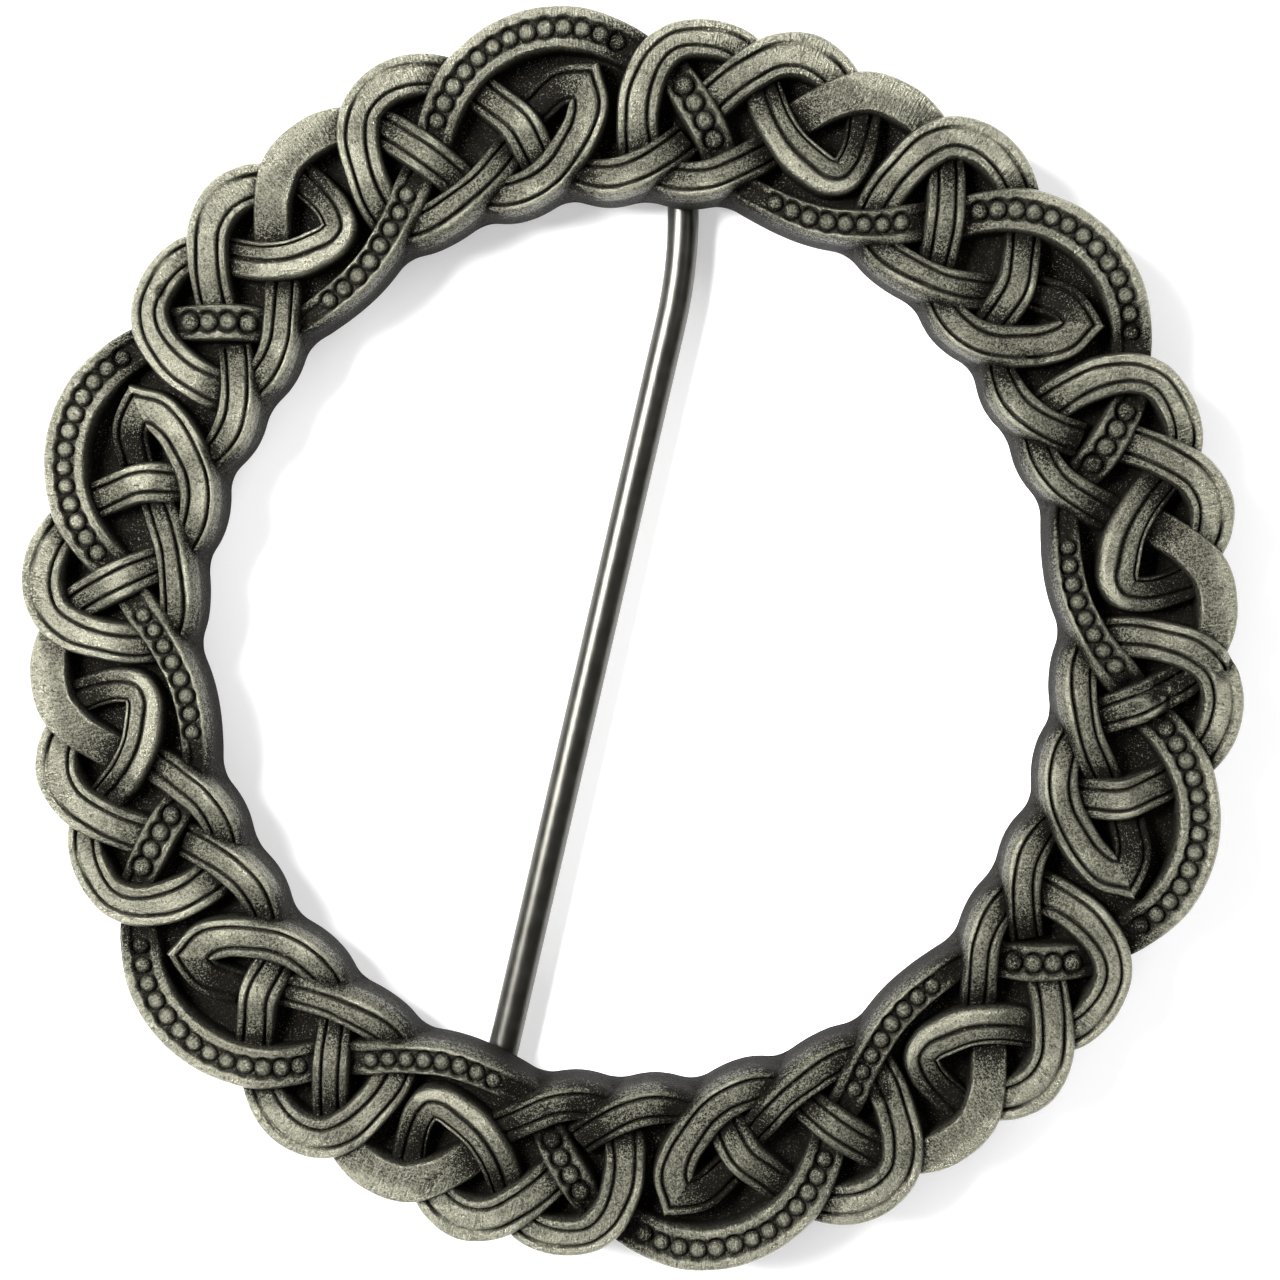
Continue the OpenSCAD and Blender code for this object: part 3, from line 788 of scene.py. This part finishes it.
def antiqued_pewter():
    """Cast pewter, blackened all over and rubbed bright on what stands out, with painted highlights on its
    edges and painted shade where bands pass under others.
    """
    black, brown_black = colour(0.0008, 0.0006, 0.0004), colour(0.006, 0.0048, 0.003)
    grey, pale_grey = colour(0.078, 0.076, 0.057), colour(0.136, 0.133, 0.104)
    # the edge colour: rubbed metal, made brighter still as a painted highlight
    edge_wear_and_highlight, stroke_bright = colour(0.29, 0.285, 0.22), colour(0.27, 0.266, 0.208)
    material, shader = start_material("antiqued_pewter")
    place = Value.out(Value.node("TexCoord"), "Object")
    grime, wall, sanded, hollow = (tone(name) for name in TONES)
    fine = noise(place, 11000, 2, 0.65)
    grit = noise(place, 6000, 2, 0.65)
    pits = noise(place, 4300, 1, 0.5).between(0.36, 0.3)
    mid = noise(place, 1300, 3, 0.6)
    broad = noise(place, 260, 2, 0.5)
    # shine is 1 on rubbed metal and 0 where the black stays: patina in hollows, grooves and the walls, and
    # painted shade where bands pass under others
    sunk = hollow + (mid - 0.5) * 0.25 + (broad - 0.5) * 0.55 - (fine - 0.5) * 2.4 - (grit - 0.5) * 1.5
    shine = 1 - sunk.between(-0.1, 0.72)
    speck = (fine * 0.62 + grit * 0.38).between(0.43, 0.57)
    blotch = grit.between(0.4, 0.62) * 0.13 + mid.between(0.4, 0.65) * 0.1
    shine = shine * (1 - grime * 0.97).clamp() * (1 - wall * (0.98 - blotch))
    # specks of black on the metal, coarser in the hollows, and flecks of metal on the black
    fleck = (fine * 0.6 + grit * 0.4).between(0.57, 0.61) * 0.9
    # edge is 1 where a place stands out above its neighbours: rubbed wear with a painted highlight, mixed
    # into the metal colour below
    edge = (0.0 - hollow).between(0.3, 0.8) * (1 - wall)
    coarse = hollow.between(-0.5, 0.3)
    shine = shine * ((0.6 - coarse * 0.25) + speck * (0.5 + coarse * 0.35)) * (1 - pits * 0.6)
    shine = (shine + fleck * (0.35 + broad.between(0.4, 0.6) * 0.65) * (1 - wall * 0.85)).clamp()
    dark = mix_colour(mid, black, brown_black)
    metal = mix_colour(grit.between(0.36, 0.64), grey, pale_grey)
    metal = mix_colour(edge * 0.8, metal, edge_wear_and_highlight)
    # brushed strokes across the loop tops, strongest at the rim
    apart = Value.node("SeparateXYZ", None, in_0=place)
    x, y = Value.out(apart, 0), Value.out(apart, 1)
    reach = (x * x + y * y).math("SQRT")
    brushed = (reach.between(0.0385, 0.041) * 0.6 + sanded * 0.4 + 0.15) * (1 - wall)
    around, outward = x.math("ARCTAN2", y) * 0.04, reach * 0.09
    strokes = noise(Value.out(Value.node("CombineXYZ", None, in_0=around, in_1=outward)), 7500, 2, 0.6)
    metal = mix_colour((strokes.between(0.45, 0.62) * brushed * 0.65).clamp(), metal, stroke_bright)
    shader.inputs["Specular IOR Level"].default_value = 0.06
    join(mix_colour(shine, dark, metal), shader.inputs["Base Color"])
    join(shine.between(0.03, 0.5, 0.2, 1.0), shader.inputs["Metallic"])
    join((0.66 - shine * 0.26 - edge * 0.12 + (fine - 0.5) * 0.3).clamp(), shader.inputs["Roughness"])
    # the grain of the casting and the strokes in relief, about a tenth of a millimetre deep
    relief = (fine - 0.5) * 1.0 + (grit - 0.5) * 1.0 + (strokes - 0.5) * brushed * 2.2
    bump = Value.node("Bump", None, Strength=0.9, Distance=0.0001, Height=relief)
    join(Value.out(bump), shader.inputs["Normal"])
    return material


def polished_steel():
    """Drawn and polished steel wire."""
    grey, pale_grey = colour(0.045, 0.044, 0.038), colour(0.075, 0.073, 0.065)
    material, shader = start_material("polished_steel")
    place = Value.out(Value.node("TexCoord"), "Object")
    # the lines of the drawing run along the wire
    lines = Value.out(Value.node("Mapping", {"vector_type": "POINT"}, Vector=place,
                                 Rotation=(0, 0, math.radians(PIN_LEAN)), Scale=(1, 0.04, 1)))
    drawn = noise(lines, 5200, 3, 0.6)
    dull = noise(place, 900, 3, 0.5)
    join(mix_colour(dull, grey, pale_grey), shader.inputs["Base Color"])
    shader.inputs["Metallic"].default_value = 1.0
    join((0.24 + dull * 0.12 + drawn * 0.08).clamp(), shader.inputs["Roughness"])
    bump = Value.node("Bump", None, Strength=0.25, Distance=0.00003, Height=drawn)
    join(Value.out(bump), shader.inputs["Normal"])
    return material


def pale_board():
    """The matt white board of the floor, lit a little from within to come out white."""
    material, shader = start_material("pale_board")
    shader.inputs["Base Color"].default_value = colour(0.86, 0.86, 0.86)
    shader.inputs["Roughness"].default_value = 0.9
    shader.inputs["Specular IOR Level"].default_value = 0.1
    shader.inputs["Emission Color"].default_value = colour(1, 1, 1)
    shader.inputs["Emission Strength"].default_value = 0.3
    return material


# The ring, the pin and the hinge

def patches(points, rows):
    """Sum of round soft patches: angle clockwise, distance, reach and amount of each."""
    total = np.zeros(len(points))
    for angle, distance, reach, amount in rows:
        x, y = clock(angle, distance)
        total += amount * np.exp(-((points[:, 0] - x) ** 2 + (points[:, 1] - y) ** 2) / reach ** 2)
    return total


def drift(points):
    """The points moved by the uneven places of the hand-made knot."""
    table = np.array(DRIFT)
    angle = np.degrees(np.arctan2(points[:, 0], points[:, 1])) % 360
    out, clockwise, inner = [np.interp(angle, table[:, 0], table[:, column], period=360)
                             for column in (1, 2, 3)]
    radius = np.linalg.norm(points[:, :2], axis=1)
    out = out + inner * ease(*DRIFT_INNER, radius)
    away = points[:, :2] / radius[:, None]
    moved = points.copy()
    moved[:, 0] += away[:, 0] * out + away[:, 1] * clockwise
    moved[:, 1] += away[:, 1] * out - away[:, 0] * clockwise
    return moved


def back_limit(points):
    """The lowest that the casting reaches at each point: its plain back, hollowed above the pin's eye."""
    over_eye = np.maximum(np.abs(points[:, 0] - HINGE[0]) / (LUG_GAP / 2),
                          np.abs(points[:, 1] - HINGE[1]) / EYE_HOLLOW_HALF)
    return BACK_Z + EYE_HOLLOW * ease(1.12, 0.9, over_eye)


def ring_units(material):
    """The six units of the casting, turned into place and drawn to the ring's real oval."""
    points, faces, tones = cast_unit()
    low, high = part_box("knot_ring")
    units = [drift(turned(points, k)) for k in range(UNITS)]
    everything = np.vstack(units)
    least, most = everything[:, :2].min(axis=0), everything[:, :2].max(axis=0)
    oval = np.array([high.x - low.x, high.y - low.y]) / MM / (most - least)
    for k, there in enumerate(units):
        pitted = ease(*PITS_SPARE, uneven("pits", there)) * (there[:, 2] > FLOOR_T + PITS_ABOVE)
        pits = patches(there, PITS) * pitted
        there[:, 2] -= pits
        unit_tones = tones.copy()
        # patches painted darker, or brighter as painted light, and the black of the pits
        unit_tones[:, 3] += patches(there, DARK_AND_LIT_PLACES) + PIT_DULL * pits
        there[:, :2] = (there[:, :2] - (least + most) / 2) * oval
        there[:, 2] += BACK_Z
        there[:, 2] = np.maximum(there[:, 2], back_limit(there))
        unit = to_mesh(f"knot_unit_{k + 1}", there, faces, unit_tones)
        unit.data.materials.append(material)
        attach(unit, "ring")
        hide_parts("knot_ring")


def skin(rows, closed=False):
    """Points and faces of a piece from rows of points round it. Its ends are capped, or closed joins them."""
    rows = np.asarray(rows, float)
    n, m = rows.shape[:2]
    row, spoke = np.meshgrid(np.arange(n if closed else n - 1), np.arange(m), indexing="ij")
    next_row, beside = (row + 1) % n, (spoke + 1) % m
    faces = np.stack([row * m + spoke, row * m + beside, next_row * m + beside, next_row * m + spoke],
                     axis=-1).reshape(-1, 4)
    points = rows.reshape(-1, 3)
    if not closed:
        spoke = np.arange(m)
        beside = (spoke + 1) % m
        first, last, end = n * m + 0 * spoke, n * m + 1 + 0 * spoke, (n - 1) * m
        faces = np.vstack([faces, np.column_stack([first, beside, spoke, spoke]),
                           np.column_stack([last, end + spoke, end + beside, end + beside])])
        points = np.vstack([points, rows[0].mean(axis=0), rows[-1].mean(axis=0)])
    a, b, c, d = [points[faces[:, corner]] for corner in range(4)]
    volume = np.sum(a * np.cross(b, c)) + np.sum(a * np.cross(c, d))
    return points, faces if volume > 0 else faces[:, [1, 0, 3, 2]]


def fitting(name, shape, material, body, node, rubbed=None):
    """A piece of the hinge, the pin or the catch, on its body. rubbed is where a cast one is bright."""
    points, faces = shape
    tones = None
    if rubbed is not None:
        none = 0 * rubbed
        tones = np.column_stack([none, FITTING_WALL + none, none, FITTING_DULL - FITTING_RUBBED * rubbed])
    piece = to_mesh(name, points, faces, tones)
    piece.data.materials.append(material)
    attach(piece, body)
    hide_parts(node)


def round_rivet(profile, spokes):
    """Rows of points round the rivet's axis, from places along it and the radius at each."""
    turn = np.arange(spokes) * 2 * math.pi / spokes
    return [np.column_stack([HINGE[0] + x + 0 * turn, HINGE[1] + r * np.cos(turn),
                             HINGE[2] + r * np.sin(turn)]) for x, r in profile]


def eyelet(outline, bore, start, end, soft):
    """A plate with a hole and edges rounded by soft, which stands across the rivet from start to end."""
    sides = [(0, outline - soft), (0.1 * soft, outline - 0.6 * soft), (0.35 * soft, outline - 0.25 * soft),
             (soft, outline)]
    bore = bore + 0 * outline
    profile = [(start + BORE_BEVEL, bore), (start, bore + BORE_BEVEL)]
    profile += [(start + x, r) for x, r in sides]
    profile += [(end - x, r) for x, r in sides[::-1]]
    profile += [(end, bore + BORE_BEVEL), (end - BORE_BEVEL, bore)]
    return skin(round_rivet(profile, len(outline)), closed=True)


def hinge_lugs(material):
    """The two cast lugs that carry the rivet: round below, and running up into the back."""
    turn = np.arange(72) * 2 * math.pi / 72
    up = BACK_Z + SUNK_IN - HINGE[2]
    square = np.minimum(HINGE[2] / np.maximum(np.abs(np.cos(turn)), 1e-6),
                        up / np.maximum(np.sin(turn), 1e-6))
    outline = np.where(np.sin(turn) > 0, square, HINGE[2])
    for side, thick in LUGS.items():
        start = LUG_GAP / 2 if side == "right" else -LUG_GAP / 2 - thick
        shape = eyelet(outline, RIVET_D / 2 + LUG_PLAY, start, start + thick, 0.35)
        reach = np.hypot(shape[0][:, 1] - HINGE[1], shape[0][:, 2] - HINGE[2])
        # only the round underside is rubbed, which the brooch lies on
        rubbed = ease(1.5, 1.8, reach) * (shape[0][:, 2] < HINGE[2])
        fitting(f"hinge_lug_{side}", shape, material, "ring", "knot_ring", rubbed)


def pin_foot(y):
    """Where the middle of the pin lies at a distance y above the ring's centre, below its bend."""
    return HINGE[0] - (BEND_Y - y) * math.tan(math.radians(PIN_LEAN))


def prong_outline(u, thick, inset):
    """A rounded rectangle of the catch, across and along the pin, u away from the pin's middle."""
    spokes = 9
    outline = []
    for corner in range(4):
        across = (thick / 2 - PRONG_ROUND) * (1, -1, -1, 1)[corner]
        along = (CATCH_L / 2 - PRONG_ROUND) * (1, 1, -1, -1)[corner]
        for k in range(spokes):
            a = math.radians(90 * corner + 90 * k / (spokes - 1))
            r = PRONG_ROUND - inset
            outline.append([u + across + r * math.cos(a), along + r * math.sin(a)])
    return np.array(outline)


def catch_prongs(material):
    """The cast fork that the pin lies in."""
    lean = math.radians(PIN_LEAN)
    across, along = np.array([math.cos(lean), -math.sin(lean)]), np.array([math.sin(lean), math.cos(lean)])
    middle = np.array([pin_foot(CATCH_Y), CATCH_Y])
    for side, (sign, thick) in PRONGS.items():
        rows = []
        for z, inset in PRONG_PROFILE:
            outline = prong_outline(sign * (CATCH_GAP + thick) / 2, thick, inset)
            flat = middle + outline[:, :1] * across + outline[:, 1:] * along
            rows.append(np.column_stack([flat, np.full(len(flat), z)]))
        shape = skin(rows)
        rubbed = ease(0.5, 0.05, shape[0][:, 2])
        fitting(f"catch_prong_{side}", shape, material, "ring", "knot_ring", rubbed)


def wire_path():
    """x and y along the middle of the pin's wire, from the eye to the point, and the distance along it."""
    lean = math.radians(PIN_LEAN)
    half_bend = BEND_R * math.tan(lean / 2)
    bend_top = BEND_Y + half_bend
    straight = [(HINGE[0], y) for y in np.linspace(HINGE[1] - WIRE_FROM, bend_top, 12)[:-1]]
    bend = [(HINGE[0] - BEND_R + BEND_R * math.cos(a), bend_top - BEND_R * math.sin(a))
            for a in np.linspace(0, lean, 18)]
    far = np.linspace(BEND_Y - half_bend * math.cos(lean), PIN_END_Y, 90)[1:]
    path = np.array(straight + bend + [(pin_foot(y), y) for y in far])
    along = np.concatenate([[0], np.cumsum(np.linalg.norm(np.diff(path, axis=0), axis=1))])
    return path, along


def pin_wire():
    """The drawn wire, swelling a little into its eye and ground to a point."""
    path, along = wire_path()
    left = sideways(path)
    to_go = along[-1] - along
    radius = WIRE_D / 2 * (1 - POINT_TAPER * np.clip(1 - to_go / POINT_L, 0, 1) ** 1.35)
    radius += EYE_SWELL * ease(*SWELL_ALONG, along)
    radius[-1] *= TIP_ROUND
    turn = np.arange(40) * 2 * math.pi / 40
    rows = [np.column_stack([path[i, 0] + left[i, 0] * r * np.cos(turn),
                             path[i, 1] + left[i, 1] * r * np.cos(turn), HINGE[2] + r * np.sin(turn)])
            for i, r in enumerate(radius)]
    return skin(rows)


def steel_pin(material):
    """The pin: its wire, and the eye that turns on the rivet."""
    half = LUG_GAP / 2 - EYE_PLAY
    eye = eyelet(np.full(64, EYE_D / 2), RIVET_D / 2 + EYE_BORE_PLAY, -half, half, 0.3)
    fitting("pin_eye", eye, material, "pin", "pin")
    fitting("pin_wire", pin_wire(), material, "pin", "pin")


def rivet(material):
    """The rivet, with a low domed head at each end."""
    left, right = -LUG_GAP / 2 - LUGS["left"] - RIVET_PLAY, LUG_GAP / 2 + LUGS["right"] + RIVET_PLAY
    profile = [(left - out, r) for out, r in RIVET_HEAD[::-1]] + [(left, RIVET_D / 2), (right, RIVET_D / 2)]
    profile += [(right + out, r) for out, r in RIVET_HEAD]
    fitting("rivet", skin(round_rivet(profile, 48)), material, "ring", "hinge_rivet")


def studio():
    """Pale floor, a small lamp and two wide ones, and a soft white sky."""
    board = bpy.data.meshes.new("board")
    half = 2.0
    board.from_pydata([(-half, -half, 0), (half, -half, 0), (half, half, 0), (-half, half, 0)], [],
                      [(0, 1, 2, 3)])
    floor = bpy.data.objects.new("board", board)
    floor.location = (0, 0, -0.0002)
    bpy.context.scene.collection.objects.link(floor)
    board.materials.append(pale_board())
    world = bpy.data.worlds.new("sky")
    bpy.context.scene.world = world
    world.use_nodes = True
    sky = world.node_tree.nodes["Background"]
    sky.inputs["Color"].default_value = (1, 1, 1, 1)
    sky.inputs["Strength"].default_value = 0.17
    for name, (spot, width, power) in LAMPS.items():
        data = bpy.data.lights.new(name, "AREA")
        data.size, data.energy = width, power
        lamp = bpy.data.objects.new(name, data)
        lamp.location = spot
        lamp.rotation_mode = "QUATERNION"
        lamp.rotation_quaternion = (-Vector(spot)).to_track_quat("-Z", "Y")
        bpy.context.scene.collection.objects.link(lamp)


def camera():
    """Almost straight above the ring, a little towards its top right."""
    data = bpy.data.cameras.new("camera")
    eye = bpy.data.objects.new("camera", data)
    aim = Vector((0.0, 0.0, (BACK_Z + RING_T) * MM))
    away = Vector(CAMERA_SIDE).normalized()
    right = Vector((0, 1, 0)).cross(away).normalized()
    eye.matrix_world = Matrix((right, away.cross(right), away)).transposed().to_4x4()
    eye.location = aim + away * CAMERA_DISTANCE
    # the lens and the shift give the photograph's framing
    data.sensor_width = 36
    data.lens = 81.42
    data.shift_x, data.shift_y = 0.0088, 0.0037
    data.clip_start = 0.01
    bpy.context.scene.collection.objects.link(eye)
    bpy.context.scene.camera = eye


pewter = antiqued_pewter()
steel = polished_steel()
ring_units(pewter)
hinge_lugs(pewter)
catch_prongs(pewter)
steel_pin(steel)
rivet(steel)
studio()
camera()
bpy.context.scene.view_settings.view_transform = "Standard"
